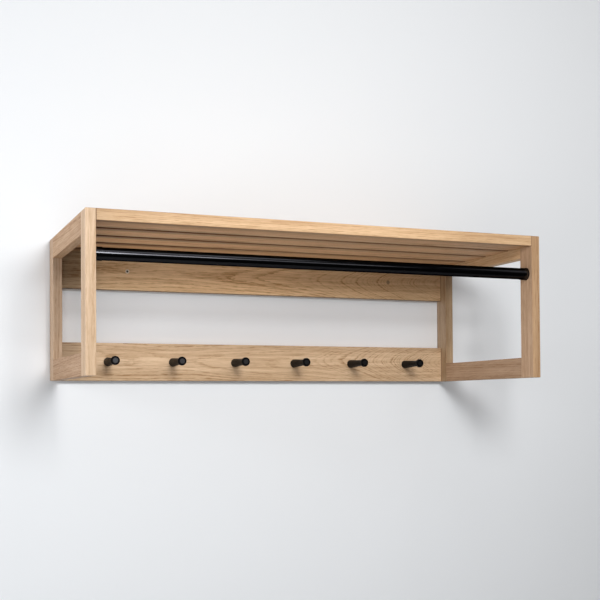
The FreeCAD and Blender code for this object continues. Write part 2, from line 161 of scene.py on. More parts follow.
def make_oak_group():
    """Oak cut from a log whose heart runs along X through the origin of the vector given.

    The growth rings wander a little, and swell towards or away from the heart at one place, as
    they do at a branch. Each ring starts with a dark line of pores and gets paler.
    """
    inputs = {
        "Vector": ("Vector", None),
        "Seed": ("Float", 0.0),
        "Ring Width": ("Float", 3.0 * MM),
        "Wander": ("Float", 8.0 * MM),
        "Swell": ("Float", 0.0),
        "Swell Place": ("Float", 0.0),
        "Swell Length": ("Float", 0.06),
        "Pale": ("Color", (1, 1, 1, 1)),
        "Dark": ("Color", (0, 0, 0, 1)),
    }
    tree, given, result = new_group("Oak", "ShaderNodeTree", inputs,
                                    {"Color": "Color", "Roughness": "Float", "Height": "Float"})
    spot = vector_calc(tree, "ADD", given["Vector"], vector_of(tree, *[given["Seed"]] * 3))
    split = add(tree, "ShaderNodeSeparateXYZ", {0: given["Vector"]}).outputs

    # The rings' wander, slow along the grain and quicker across it, and their swell
    offset = (0.0, 0.0, 0.0)
    for scale, detail, share in RING_WANDERS:
        noise = stretched_noise(tree, spot, scale, detail).outputs["Color"]
        centred = vector_calc(tree, "SUBTRACT", noise, (0.5, 0.5, 0.5))
        amount = calc(tree, "MULTIPLY", given["Wander"], share)
        push = add(tree, "ShaderNodeVectorMath", {0: centred, "Scale": amount}, operation="SCALE").outputs[0]
        offset = vector_calc(tree, "ADD", offset, push)
    shift = add(tree, "ShaderNodeSeparateXYZ", {0: offset}).outputs
    along = calc(tree, "DIVIDE", calc(tree, "SUBTRACT", split["X"], given["Swell Place"]),
                 given["Swell Length"])
    swell = calc(tree, "MULTIPLY", given["Swell"],
                 calc(tree, "EXPONENT", calc(tree, "MULTIPLY", calc(tree, "POWER", along, 2.0), -1.0)))
    deep = calc(tree, "ADD", calc(tree, "ADD", split["Y"], shift["Y"]), swell)
    side = calc(tree, "ADD", split["Z"], shift["Z"])
    radius = calc(tree, "SQRT", calc(tree, "ADD", calc(tree, "MULTIPLY", deep, deep),
                                     calc(tree, "MULTIPLY", side, side)))

    # One ring after the other, each of its own width and tone
    count = calc(tree, "DIVIDE", radius, given["Ring Width"])
    slow = weighted_sum(tree, given["Seed"], (count, RING_UNEVEN_RATE))
    uneven = add(tree, "ShaderNodeTexNoise", {"W": slow, "Scale": 1.0, "Detail": 1.0},
                 noise_dimensions="1D").outputs[0]
    rings = weighted_sum(tree, count, (uneven, RING_UNEVENNESS))
    phase = calc(tree, "FRACT", rings)
    number = calc(tree, "FLOOR", rings)
    tone = add(tree, "ShaderNodeTexWhiteNoise", {"W": calc(tree, "ADD", number, given["Seed"])},
               noise_dimensions="1D").outputs["Value"]
    starts = ramp(tree, phase, *RING_START)
    fades = ramp(tree, phase, *RING_FADE, 1.0, 0.0)
    porous = calc(tree, "MULTIPLY", starts, fades)
    weight = weighted_sum(tree, 0.25, (calc(tree, "POWER", tone, 2.0), 1.1))
    ring_line = calc(tree, "MULTIPLY", porous, weight)

    # Fibres, streaks, pores and rays, all drawn out along the grain. Most pores lie in the ring lines
    marks = {name: ramp(tree, stretched_noise(tree, spot, scale, detail).outputs[0], *span)
             for name, (scale, detail, span) in GRAIN_NOISE.items()}
    marks["pores"] = calc(tree, "MULTIPLY", marks["holes"], weighted_sum(tree, 0.15, (porous, 0.85)))
    dashed = weighted_sum(tree, 0.5, (marks["dashes"], 0.75))
    marks["rings"] = calc(tree, "MULTIPLY", ring_line, dashed)
    darkness = weighted_sum(tree, 0.0, *((marks[name], share) for name, share in MARK_SHARES.items()))
    figure = calc(tree, "MINIMUM", darkness, 1.0)

    # Its colour, with paler and darker clouds, its roughness and its relief
    wood = blend_colours(tree, figure, given["Pale"], given["Dark"])
    cloudy = blend_colours(tree, marks["clouds"], *CLOUD_COLOURS)
    link(tree, blend_colours(tree, 1.0, wood, cloudy, "MULTIPLY"), result["Color"])
    rough = weighted_sum(tree, 0.5, (figure, 0.16), (marks["fibres"], 0.06))
    link(tree, rough, result["Roughness"])
    relief = weighted_sum(tree, 0.0, (marks["fibres"], 0.25), (porous, -0.2), (marks["pores"], -0.6))
    link(tree, relief, result["Height"])
    return tree


def make_coating_group():
    """A sprayed coating on metal: fine orange peel, faint rubbing marks and a little dust."""
    inputs = {
        "Vector": ("Vector", None),
        "Peel Scale": ("Float", 500.0),
        "Smooth": ("Float", 0.2),
        "Rubbed": ("Float", 0.35),
        "Coat": ("Color", (0, 0, 0, 1)),
        "Dust": ("Color", (1, 1, 1, 1)),
    }
    tree, given, result = new_group("Coating", "ShaderNodeTree", inputs,
                                    {"Color": "Color", "Roughness": "Float", "Height": "Float"})
    noises = ((given["Peel Scale"], 2.0), (45.0, 4.0), (1400.0, 0.0))
    peel, clouds, dots = (
        add(tree, "ShaderNodeTexNoise", {"Vector": given["Vector"], "Scale": scale,
                                         "Detail": detail}).outputs[0] for scale, detail in noises)
    cloudy = ramp(tree, clouds, 0.4, 0.75)
    specks = ramp(tree, dots, 0.7, 0.82)
    dusty = calc(tree, "MULTIPLY", specks, weighted_sum(tree, 0.05, (cloudy, 0.25)))
    link(tree, blend_colours(tree, dusty, given["Coat"], given["Dust"]), result["Color"])
    rubbing = calc(tree, "SUBTRACT", given["Rubbed"], given["Smooth"])
    link(tree, weighted_sum(tree, given["Smooth"], (cloudy, rubbing)), result["Roughness"])
    link(tree, peel, result["Height"])
    return tree


OAK = make_oak_group()
COATING = make_coating_group()


def start_material(name, **settings):
    """Starts a material with a Principled shader and the piece's own coordinates."""
    material = bpy.data.materials.new(name)
    material.use_nodes = True
    tree = material.node_tree
    shader = tree.nodes["Principled BSDF"]
    for label, value in settings.items():
        shader.inputs[label.replace("_", " ")].default_value = value
    place = add(tree, "ShaderNodeTexCoord").outputs["Object"]
    return material, tree, shader, place


def normal_along(tree, axis):
    """How far the surface looks along an axis."""
    return axis_of(tree, add(tree, "ShaderNodeNewGeometry").outputs["Normal"], axis)


def finish_surface(tree, shader, effect, strength, depth):
    """Feeds an effect's colour, roughness and relief to the shader."""
    link(tree, effect.outputs["Color"], shader.inputs["Base Color"])
    link(tree, effect.outputs["Roughness"], shader.inputs["Roughness"])
    bump = add(tree, "ShaderNodeBump", {"Height": effect.outputs["Height"], "Strength": strength,
                                        "Distance": depth})
    link(tree, bump.outputs[0], shader.inputs["Normal"])


slat_low, slat_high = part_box("shelf_slat_1")
slat_width = slat_high.y - slat_low.y
slat_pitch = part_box("shelf_slat_2")[0].y - slat_low.y
JOINT_X = slat_high.x
PALE_OAK = (0.76, 0.535, 0.345, 1)
DARK_OAK = (0.43, 0.245, 0.12, 1)
DEEP_OAK = (0.36, 0.20, 0.09, 1)
OAK_RELIEF = 0.35, 0.15 * MM
# The turn for each grain, how far apart the slats lay in their log, and how blunt the arrows are
GRAIN_TURNS = {"X": (0.0, 0.0, 0.0), "Y": (0.0, 0.0, math.pi / 2), "Z": (0.0, -math.pi / 2, 0.0)}
ROW_SHIFT = 1.7
ARROW_TIP = 5 * MM

# Painted shade in the gaps between slats, and the dark joints at the slats' ends
GAP_SHADE_AND_JOINT_OAK = (0.088, 0.024, 0.003, 1)
GAPS_START = slat_low.y + 5 * MM
GAP_REACH = 32 * MM
GAP_SIDES, GAP_SIDE_SHADE = (0.55, 0.95), 0.9
GAP_UNDER_SHADE = 0.8
GAP_RIGHT_SHARE, GAP_RIGHT_X = 0.55, 0.05
WALL_FACE = -2 * MM
JOINT_SHADE, JOINT_SPAN = 0.75, (2 * MM, 0.4 * MM)

# Sides that look along the minus way of an axis, and the painted light and shade that tints them
FACES_MINUS = (-0.5, -0.9)
# Painted light: the slats' undersides warmer
SLAT_UNDERSIDE_LIGHT = ("Z", (1.10, 0.99, 0.88, 1))
# Painted shade: the boards' undersides much darker
BOARD_UNDERSIDE_SHADE = ("Z", (0.38, 0.36, 0.36, 1))
# Painted light: the inside of the right front post paler and bluer
RIGHT_POST_INSIDE_LIGHT = ("X", (1.16, 1.22, 1.40, 1))
# Sides that look at the wall keep their plain colour, without the painted light and shade along X
FACES_WALL = (0.5, 0.2)


def toned(colour, tone):
    """Makes a colour darker or paler, each channel by its own share."""
    return (*(channel * share for channel, share in zip(colour, tone)), 1.0)


def painted_light_along(tree, along, light_stops):
    """Painted light and shade along the piece: a grey for each place along it."""
    low, high = light_stops[0][0], light_stops[-1][0]
    share = calc(tree, "DIVIDE", calc(tree, "SUBTRACT", along, low), high - low)
    made = add(tree, "ShaderNodeValToRGB", {0: share})
    band = made.color_ramp
    band.interpolation = "EASE"
    for element in list(band.elements)[1:]:
        band.elements.remove(element)
    for number, (where, grey) in enumerate(light_stops):
        place = (where - low) / (high - low)
        element = band.elements.new(place) if number else band.elements[0]
        element.position = place
        element.color = (grey, grey, grey, 1)
    return made.outputs[0]


def gap_shade(tree, place, start):
    """A mask of painted shade for the sides that face the gaps between slats, and for the lower face beside
    the gaps.

    It begins at a depth behind the first slat's front, ends at the wall and is weaker at the right.
    """
    across = add(tree, "ShaderNodeSeparateXYZ", {0: place}).outputs
    behind = calc(tree, "MULTIPLY", calc(tree, "GREATER_THAN", across["Y"], start),
                  calc(tree, "LESS_THAN", across["Y"], WALL_FACE))
    side = ramp(tree, calc(tree, "ABSOLUTE", normal_along(tree, "Y")), *GAP_SIDES, 0.0, GAP_SIDE_SHADE)
    gap_middle = start + (slat_width + slat_pitch) / 2
    from_gap = calc(tree, "PINGPONG", calc(tree, "SUBTRACT", across["Y"], gap_middle), slat_pitch / 2)
    beside = ramp(tree, from_gap, GAP_REACH, 0.0, 0.0, GAP_UNDER_SHADE)
    under = calc(tree, "MULTIPLY", ramp(tree, normal_along(tree, "Z"), *FACES_MINUS), beside)
    shade = calc(tree, "MULTIPLY", calc(tree, "MAXIMUM", side, under), behind)
    weaker = ramp(tree, across["X"], slat_low.x, GAP_RIGHT_X, 1.0, GAP_RIGHT_SHARE)
    return calc(tree, "MULTIPLY", shade, weaker)


def arrow_place(tree, place, heart, arrow):
    """Shifts the wood along X, more so away from the heart's level, so that the rings make arrows."""
    height = axis_of(tree, vector_calc(tree, "SUBTRACT", place, heart), "Z")
    spread = calc(tree, "SQRT", calc(tree, "ADD", calc(tree, "MULTIPLY", height, height), ARROW_TIP ** 2))
    return vector_calc(tree, "ADD", place, vector_of(tree, calc(tree, "MULTIPLY", spread, -arrow)))


def row_place(tree, place, start, pitch):
    """Gives each slat of a row a length of the log of its own, with the heart at the same place in it."""
    depth = axis_of(tree, place, "Y")
    row = calc(tree, "FLOOR", calc(tree, "DIVIDE", calc(tree, "SUBTRACT", depth, start), pitch))
    jump = vector_of(tree, calc(tree, "MULTIPLY", row, ROW_SHIFT), calc(tree, "MULTIPLY", row, -pitch))
    return vector_calc(tree, "ADD", place, jump)


def oak_material(name, grain, heart, seed, tone=(1, 1, 1), lean=(0.0, 0.0), pale=PALE_OAK, dark=DARK_OAK,
                 rows=None, gaps=None, facing=None, arrow=0.0, joints=False, light_stops=None, **figure):
    """Oiled oak for one piece, with the heart of its log through a point and nearly along an axis.

    Where they are given, rows are the start and pitch of slats that share the material, gaps is where the
    painted shade between slats starts, facing is an axis and the colour of painted light and shade for the
    sides that look along its minus way, joints darkens both ends, and light_stops are the greys of painted
    light and shade along X on all sides but the back. The rest of the settings go to the oak group.
    """
    material, tree, shader, here = start_material(name, Specular_IOR_Level=0.35)
    place = arrow_place(tree, here, heart, arrow) if arrow else here
    if rows:
        place = row_place(tree, place, *rows)
    turn = Vector(GRAIN_TURNS[grain]) + Vector((0.0, *lean))
    log = add(tree, "ShaderNodeMapping", {"Vector": place, "Location": heart, "Rotation": turn},
              vector_type="TEXTURE")
    inputs = {"Vector": log.outputs[0], "Seed": seed, "Pale": toned(pale, tone), "Dark": toned(dark, tone)}
    inputs.update({label.replace("_", " ").title(): value for label, value in figure.items()})
    effect = add(tree, "ShaderNodeGroup", inputs, node_tree=OAK)
    finish_surface(tree, shader, effect, *OAK_RELIEF)
    colour = effect.outputs["Color"]
    # Painted light and shade along X
    if light_stops:
        light_greys = painted_light_along(tree, axis_of(tree, here, "X"), light_stops)
        graded = blend_colours(tree, 1.0, colour, light_greys, "MULTIPLY")
        seen = ramp(tree, normal_along(tree, "Y"), *FACES_WALL)
        colour = blend_colours(tree, seen, colour, graded)
    # Painted light and shade on the sides that look along an axis's minus way
    if facing:
        axis, factor = facing
        turned = ramp(tree, normal_along(tree, axis), *FACES_MINUS)
        colour = blend_colours(tree, turned, colour, blend_colours(tree, 1.0, colour, factor, "MULTIPLY"))
    # Painted shade in the gaps between slats
    if gaps is not None:
        colour = blend_colours(tree, gap_shade(tree, here, gaps), colour, GAP_SHADE_AND_JOINT_OAK)
    if joints:
        end = calc(tree, "ABSOLUTE", axis_of(tree, here, "X"))
        dark_end = ramp(tree, end, *(JOINT_X - reach for reach in JOINT_SPAN), 0.0, JOINT_SHADE)
        colour = blend_colours(tree, dark_end, colour, GAP_SHADE_AND_JOINT_OAK)
    link(tree, colour, shader.inputs["Base Color"])
    return material


DUST = (0.32, 0.29, 0.26, 1)
COATING_DEPTH = 0.05 * MM
# Painted highlights: pale rings round the right socket
HIGHLIGHT_RING_REACH = 0.8 * MM
RING_HIGHLIGHT = (0.20, 0.19, 0.17, 1)
# The pegs' front faces carry a painted sheen inside a dark rim, most of all at the left
PEG_FACE_DEPTHS = (0.6 * MM, 0.0)
PEG_FACE_RADII = (7.2 * MM, 4.4 * MM)
PEG_SHEEN_FADE = (-0.1, 0.6, 0.65, 0.08)
PEG_FACE_SHEEN = (0.020, 0.018, 0.024, 1)


def peg_fronts(tree, place, centre, pitch):
    """Masks for the front faces of a row of pegs, for the discs in them, and for the painted sheen on the
    discs, which fades to the right.
    """
    away = add(tree, "ShaderNodeSeparateXYZ", {0: vector_calc(tree, "SUBTRACT", place, centre)}).outputs
    beside = calc(tree, "PINGPONG", away["X"], pitch / 2)
    square = calc(tree, "ADD", calc(tree, "MULTIPLY", beside, beside),
                  calc(tree, "MULTIPLY", away["Z"], away["Z"]))
    front = ramp(tree, away["Y"], *PEG_FACE_DEPTHS)
    disc = calc(tree, "MULTIPLY", front, ramp(tree, calc(tree, "SQRT", square), *PEG_FACE_RADII))
    return front, disc, calc(tree, "MULTIPLY", disc, ramp(tree, away["X"], *PEG_SHEEN_FADE))


def highlight_rings(tree, place, wood_x, distances):
    """A mask of painted highlight rings round X at some distances to the left of the wood."""
    across = axis_of(tree, place, "X")
    highlight_mask = 0.0
    for distance in distances:
        off = calc(tree, "ABSOLUTE", calc(tree, "SUBTRACT", across, wood_x - distance))
        highlight_mask = calc(tree, "MAXIMUM", highlight_mask, ramp(tree, off, HIGHLIGHT_RING_REACH, 0.2 * HIGHLIGHT_RING_REACH))
    return highlight_mask


def coated_material(name, coat, smooth, rubbed, peel_scale, strength, dust=DUST, painted_sheen=None, rings=None,
                    **settings):
    """A black coating on metal, with a painted sheen on the fronts of pegs and painted highlight rings, where
    given.

    painted_sheen is the middle of the first peg's front and the pegs' pitch. rings is where the wood lies on
    X and how far the painted highlight rings are from it.
    """
    material, tree, shader, place = start_material(name, **settings)
    effect = add(tree, "ShaderNodeGroup", {"Vector": place, "Peel Scale": peel_scale, "Smooth": smooth,
                                           "Rubbed": rubbed, "Coat": coat, "Dust": dust}, node_tree=COATING)
    finish_surface(tree, shader, effect, strength, COATING_DEPTH)
    colour = effect.outputs["Color"]
    # Painted sheen on the pegs' front faces: a paler grey and more coat, most at the left
    if painted_sheen:
        front, disc, face = peg_fronts(tree, place, *painted_sheen)
        link(tree, face, shader.inputs["Coat Weight"])
        link(tree, calc(tree, "SUBTRACT", front, disc), shader.inputs["Metallic"])
        colour = blend_colours(tree, face, colour, PEG_FACE_SHEEN)
    # Painted highlight rings
    if rings:
        colour = blend_colours(tree, highlight_rings(tree, place, *rings), colour, RING_HIGHLIGHT)
    link(tree, colour, shader.inputs["Base Color"])
    return material


# Geometry trees: the slats, pegs, rail, sockets and wall screws

# Edges sharper than these angles are shaded as edges, and points nearer than this are joined
SAWN_EDGE, TURNED_EDGE = 1.0, 0.6
SAME_POINT = 1e-6


def grow(name, tree, sizes):
    """Runs a geometry tree with its sizes and keeps the result as a plain mesh."""
    piece = bpy.data.objects.new(name, bpy.data.meshes.new(name))
    bpy.context.collection.objects.link(piece)
    modifier = piece.modifiers.new("Sizes", "NODES")
    modifier.node_group = tree
    for item in tree.interface.items_tree:
        if item.item_type == "SOCKET" and item.in_out == "INPUT":
            modifier[item.identifier] = sizes[item.name]
    seen = bpy.context.evaluated_depsgraph_get()
    mesh = bpy.data.meshes.new_from_object(piece.evaluated_get(seen), depsgraph=seen)
    piece.modifiers.remove(modifier)
    piece.data = mesh
    mesh.name = name
    return piece


def fit_piece(piece, slot, *nodes):
    """Puts a finished piece on the shelf's body, in place of some nodes if there are any."""
    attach(piece, BODY)
    if nodes:
        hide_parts(*nodes)


def start_tree(name, output, *labels, whole=()):
    """Starts a geometry tree whose inputs are lengths, whole numbers and a material."""
    inputs = {label: ("Float", None) for label in labels}
    inputs.update({label: ("Int", None) for label in whole})
    inputs["Material"] = ("Material", None)
    return new_group(name, "GeometryNodeTree", inputs, {output: "Geometry"})


def end_tree(tree, geometry, given, result):
    """Ends a tree: makes instances real and gives them their material."""
    real = add(tree, "GeometryNodeRealizeInstances", {0: geometry}).outputs[0]
    dressed = add(tree, "GeometryNodeSetMaterial", {"Geometry": real, "Material": given["Material"]})
    link(tree, dressed.outputs[0], result[0])


def make_slat_tree():
    """A row of slats with eased edges, their length along X, one behind the other."""
    tree, given, result = start_tree("Row of slats", "Slats", "Left", "Front", "Bottom", "Length", "Width",
                                     "Thickness", "Pitch", "Edge Radius", whole=("Count", "Edge Steps"))
    section = add(tree, "GeometryNodeCurvePrimitiveQuadrilateral",
                  {"Width": given["Width"], "Height": given["Thickness"]})
    eased = add(tree, "GeometryNodeFilletCurve", {"Curve": section.outputs[0], "Count": given["Edge Steps"],
                                                  "Radius": given["Edge Radius"]}, mode="POLY")
    run = add(tree, "GeometryNodeCurvePrimitiveLine", {"End": vector_of(tree, given["Length"])})
    slat = add(tree, "GeometryNodeCurveToMesh", {"Curve": run.outputs[0], "Profile Curve": eased.outputs[0],
                                                 "Fill Caps": True}).outputs[0]
    # The wide sides are shaded flat, and the sawn ends have sharp edges
    wide = calc(tree, "GREATER_THAN", add(tree, "GeometryNodeInputMeshFaceArea").outputs[0],
                calc(tree, "MULTIPLY", given["Length"], given["Edge Radius"]))
    flat_sides = add(tree, "GeometryNodeSetShadeSmooth", {"Geometry": slat, "Selection": wide,
                                                          "Shade Smooth": False}, domain="FACE")
    sharp = calc(tree, "GREATER_THAN", add(tree, "GeometryNodeInputMeshEdgeAngle").outputs[0], SAWN_EDGE)
    slat = add(tree, "GeometryNodeSetShadeSmooth", {"Geometry": flat_sides.outputs[0], "Selection": sharp,
                                                    "Shade Smooth": False}, domain="EDGE").outputs[0]
    axis_y = calc(tree, "ADD", given["Front"], calc(tree, "DIVIDE", given["Width"], 2.0))
    axis_z = calc(tree, "ADD", given["Bottom"], calc(tree, "DIVIDE", given["Thickness"], 2.0))
    row = add(tree, "GeometryNodeMeshLine", {
        "Count": given["Count"], "Start Location": vector_of(tree, given["Left"], axis_y, axis_z),
        "Offset": vector_of(tree, y=given["Pitch"])})
    slats = add(tree, "GeometryNodeInstanceOnPoints", {"Points": row.outputs[0], "Instance": slat})
    end_tree(tree, slats.outputs[0], given, result)
    return tree


def make_lathe_group():
    """Turns a profile of points (distance along, radius) about X into a closed mesh."""
    inputs = {"Profile": ("Geometry", None), "Segments": ("Int", 48)}
    tree, given, result = new_group("Turned on a lathe", "GeometryNodeTree", inputs, {"Mesh": "Geometry"})
    size = add(tree, "GeometryNodeAttributeDomainSize", {0: given["Profile"]}, component="CURVE")
    columns = calc(tree, "ADD", given["Segments"], 1.0)
    grid = add(tree, "GeometryNodeMeshGrid", {"Vertices X": size.outputs["Point Count"],
                                              "Vertices Y": columns}).outputs["Mesh"]
    index = add(tree, "GeometryNodeInputIndex").outputs[0]
    station = calc(tree, "FLOOR", calc(tree, "DIVIDE", index, columns))
    column = calc(tree, "SUBTRACT", index, calc(tree, "MULTIPLY", station, columns))
    angle = calc(tree, "DIVIDE", calc(tree, "MULTIPLY", column, math.tau), given["Segments"])
    spot = add(tree, "GeometryNodeSampleIndex",
               {"Geometry": given["Profile"], "Value": add(tree, "GeometryNodeInputPosition").outputs[0],
                "Index": station}, data_type="FLOAT_VECTOR", domain="POINT").outputs[0]
    split = add(tree, "ShaderNodeSeparateXYZ", {0: spot}).outputs
    round_spot = vector_of(tree, split["X"], calc(tree, "MULTIPLY", split["Y"], calc(tree, "COSINE", angle)),
                           calc(tree, "MULTIPLY", split["Y"], calc(tree, "SINE", angle)))
    turned = add(tree, "GeometryNodeSetPosition", {"Geometry": grid, "Position": round_spot})
    closed = add(tree, "GeometryNodeMergeByDistance", {"Geometry": turned.outputs[0],
                                                       "Distance": SAME_POINT})
    outward = add(tree, "GeometryNodeFlipFaces", {"Mesh": closed.outputs[0]})
    sharp = calc(tree, "GREATER_THAN", add(tree, "GeometryNodeInputMeshEdgeAngle").outputs[0], TURNED_EDGE)
    shaded = add(tree, "GeometryNodeSetShadeSmooth", {"Geometry": outward.outputs[0], "Selection": sharp,
                                                      "Shade Smooth": False}, domain="EDGE")
    link(tree, shaded.outputs[0], result[0])
    return tree


LATHE = make_lathe_group()
ROUNDING_STEPS = 5


def turned_piece(tree, points, segments):
    """Turns a profile through points (distance along, radius, rounding), each a value or a socket."""
    line = add(tree, "GeometryNodeMeshLine", {"Count": len(points)}).outputs[0]
    index = add(tree, "GeometryNodeInputIndex").outputs[0]
    spots = add(tree, "GeometryNodeIndexSwitch", {"Index": index}, data_type="VECTOR")
    roundings = add(tree, "GeometryNodeIndexSwitch", {"Index": index}, data_type="FLOAT")
    for _ in points[2:]:
        spots.index_switch_items.new()
        roundings.index_switch_items.new()
    for number, (along, radius, rounding) in enumerate(points, start=1):
        link(tree, vector_of(tree, along, radius), spots.inputs[number])
        fill_inputs(tree, roundings, {number: rounding})
    placed = add(tree, "GeometryNodeSetPosition", {"Geometry": line, "Position": spots.outputs[0]})
    curve = add(tree, "GeometryNodeMeshToCurve", {"Mesh": placed.outputs[0]}).outputs[0]
    rounded = add(tree, "GeometryNodeFilletCurve", {"Curve": curve, "Count": ROUNDING_STEPS,
                                                    "Radius": roundings.outputs[0], "Limit Radius": True},
                  mode="POLY").outputs[0]
    turned = add(tree, "GeometryNodeGroup", {"Profile": rounded, "Segments": segments}, node_tree=LATHE)
    return turned.outputs[0]


def make_peg_tree():
    """A row of turned pegs that stand out from the board towards -Y."""
    tree, given, result = start_tree("Row of pegs", "Pegs", "First X", "Board Y", "Level Z", "Pitch",
                                     "Length", "Base Diameter", "Neck Diameter", "Head Diameter",
                                     "Head Thickness", "Flare", "Front Rounding", "Back Rounding",
                                     whole=("Count", "Segments"))
    radius = {part: calc(tree, "DIVIDE", given[part + " Diameter"], 2.0) for part in ("Base", "Neck", "Head")}
    head_back = calc(tree, "SUBTRACT", given["Length"], given["Head Thickness"])
    neck = calc(tree, "SUBTRACT", head_back, given["Flare"])
    points = [
        (0.0, 0.0, 0.0),
        (0.0, radius["Base"], 0.4 * MM),
        (neck, radius["Neck"], 3 * MM),
        (head_back, radius["Head"], given["Back Rounding"]),
        (given["Length"], radius["Head"], given["Front Rounding"]),
        (given["Length"], 0.0, 0.0),
    ]
    peg = turned_piece(tree, points, given["Segments"])
    start = vector_of(tree, given["First X"], given["Board Y"], given["Level Z"])
    row = add(tree, "GeometryNodeMeshLine", {"Count": given["Count"], "Start Location": start,
                                             "Offset": vector_of(tree, given["Pitch"])})
    pegs = add(tree, "GeometryNodeInstanceOnPoints", {"Points": row.outputs[0], "Instance": peg,
                                                      "Rotation": (0.0, 0.0, -math.pi / 2)})
    end_tree(tree, pegs.outputs[0], given, result)
    return tree


def make_rail_tree():
    """A round tube along X with open ends."""
    tree, given, result = start_tree("Tube", "Tube", "Left", "Axis Y", "Axis Z", "Length", "Diameter",
                                     "Wall", whole=("Segments",))
    outer = calc(tree, "DIVIDE", given["Diameter"], 2.0)
    inner = calc(tree, "SUBTRACT", outer, given["Wall"])
    lip = 0.3 * MM
    points = [(0.0, inner, 0.0), (0.0, outer, lip), (given["Length"], outer, lip),
              (given["Length"], inner, 0.0), (0.0, inner, 0.0)]
    tube = turned_piece(tree, points, given["Segments"])
    place = vector_of(tree, given["Left"], given["Axis Y"], given["Axis Z"])
    moved = add(tree, "GeometryNodeTransform", {"Geometry": tube, "Translation": place})
    end_tree(tree, moved.outputs[0], given, result)
    return tree


def make_socket_tree():
    """Two cups that hold the tube's ends, each with a flange on the wood and a groove round it."""
    tree, given, result = start_tree("Rail sockets", "Sockets", "Left", "Right", "Axis Y", "Axis Z",
                                     "Floor", "Depth", "Bore Radius", "Wall", "Flange", "Groove Width",
                                     "Groove Depth", "Edge", "Screw Radius", whole=("Segments",))
    collar = calc(tree, "ADD", given["Bore Radius"], given["Wall"])
    flange = calc(tree, "ADD", collar, given["Flange"])
    cup = calc(tree, "SUBTRACT", given["Depth"], given["Floor"])
    groove = calc(tree, "ADD", given["Floor"], calc(tree, "MULTIPLY", cup, 0.3))
    groove_end = calc(tree, "ADD", groove, given["Groove Width"])
    groove_floor = calc(tree, "SUBTRACT", collar, given["Groove Depth"])
    edge = given["Edge"]
    points = [
        (0.0, given["Screw Radius"], 0.0),
        (0.0, flange, 0.0),
        (given["Floor"], flange, edge),
        (given["Floor"], collar, edge),
        (groove, collar, edge),
        (groove, groove_floor, 0.0),
        (groove_end, groove_floor, 0.0),
        (groove_end, collar, edge),
        (given["Depth"], collar, edge),
        (given["Depth"], given["Bore Radius"], 0.0),
        (given["Floor"], given["Bore Radius"], 0.0),
        (given["Floor"], given["Screw Radius"], 0.0),
        (0.0, given["Screw Radius"], 0.0),
    ]
    socket = turned_piece(tree, points, given["Segments"])
    pair = []
    for side, turn in (("Left", 0.0), ("Right", math.pi)):
        place = vector_of(tree, given[side], given["Axis Y"], given["Axis Z"])
        pair.append(add(tree, "GeometryNodeTransform", {"Geometry": socket, "Translation": place,
                                                        "Rotation": (0.0, 0.0, turn)}).outputs[0])
    both = add(tree, "GeometryNodeJoinGeometry")
    for one in pair:
        link(tree, one, both.inputs[0])
    end_tree(tree, both.outputs[0], given, result)
    return tree


# How long a screw's cross is beside its head, and how far it is turned
CROSS_SHARE, CROSS_TURN = 0.55, 0.7


def make_wall_screw_tree():
    """Two countersunk wall screws with crossed recesses, their heads towards -Y."""
    tree, given, result = start_tree("Wall screws", "Screws", "Left", "Spacing", "Face Y", "Level Z",
                                     "Head Diameter", "Shank Diameter", "Length", "Recess Width",
                                     "Recess Depth", whole=("Segments",))
    head = calc(tree, "DIVIDE", given["Head Diameter"], 2.0)
    shank = calc(tree, "DIVIDE", given["Shank Diameter"], 2.0)
    cone = calc(tree, "SUBTRACT", head, shank)
    lip = 0.3 * MM
    points = [
        (0.0, 0.0, 0.0),
        (0.0, head, 0.15 * MM),
        (lip, head, 0.0),
        (calc(tree, "ADD", cone, lip), shank, 0.0),
        (given["Length"], shank, 0.0),
        (given["Length"], 0.0, 0.0),
    ]
    screw = turned_piece(tree, points, given["Segments"])
    # The cross is cut by two bars that lie half in front of the head
    arm = calc(tree, "MULTIPLY", given["Head Diameter"], CROSS_SHARE)
    deep = calc(tree, "MULTIPLY", given["Recess Depth"], 2.0)
    driven = add(tree, "GeometryNodeMeshBoolean", {0: screw}, operation="DIFFERENCE", solver="EXACT")
    for wide, high in ((given["Recess Width"], arm), (arm, given["Recess Width"])):
        bar = add(tree, "GeometryNodeMeshCube", {"Size": vector_of(tree, deep, wide, high)})
        link(tree, bar.outputs["Mesh"], driven.inputs[1])
    start = vector_of(tree, given["Left"], given["Face Y"], given["Level Z"])
    row = add(tree, "GeometryNodeMeshLine", {"Count": 2, "Start Location": start,
                                             "Offset": vector_of(tree, given["Spacing"])})
    screws = add(tree, "GeometryNodeInstanceOnPoints", {
        "Points": row.outputs[0], "Instance": driven.outputs[0], "Rotation": (CROSS_TURN, 0.0, math.pi / 2)})
    end_tree(tree, screws.outputs[0], given, result)
    return tree


# The wood

def middle(name):
    """Finds the middle of a node."""
    low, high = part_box(name)
    return (low + high) / 2


def dress(name, material):
    """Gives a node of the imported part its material."""
    node = frame["nodes"][name]
    for slot in node.material_slots:
        slot.material = material
        slot.link = "DATA"


# How pale each piece is in red, green and blue: partly the wood's own tone, partly painted light and shade
TONES_AND_PAINTED_LIGHT = {
    "left_front_post": (0.93, 0.95, 0.98), "left_rear_post": (0.78, 0.78, 0.82),
    "right_front_post": (0.68, 0.62, 0.55), "right_rear_post": (0.56, 0.55, 0.51),
    "left_lower_frame_rail": (0.62, 0.54, 0.47), "left_upper_frame_rail": (0.73, 0.655, 0.585),
    "right_lower_frame_rail": (0.61, 0.565, 0.55), "right_upper_frame_rail": (0.91, 0.87, 0.77),
    "upper_board": (1.15, 1.135, 1.03), "peg_board": (1.00, 1.005, 0.99),
    "shelf_slats": (0.99, 0.94, 0.84), "rear_slat": (0.90, 0.85, 0.76),
}
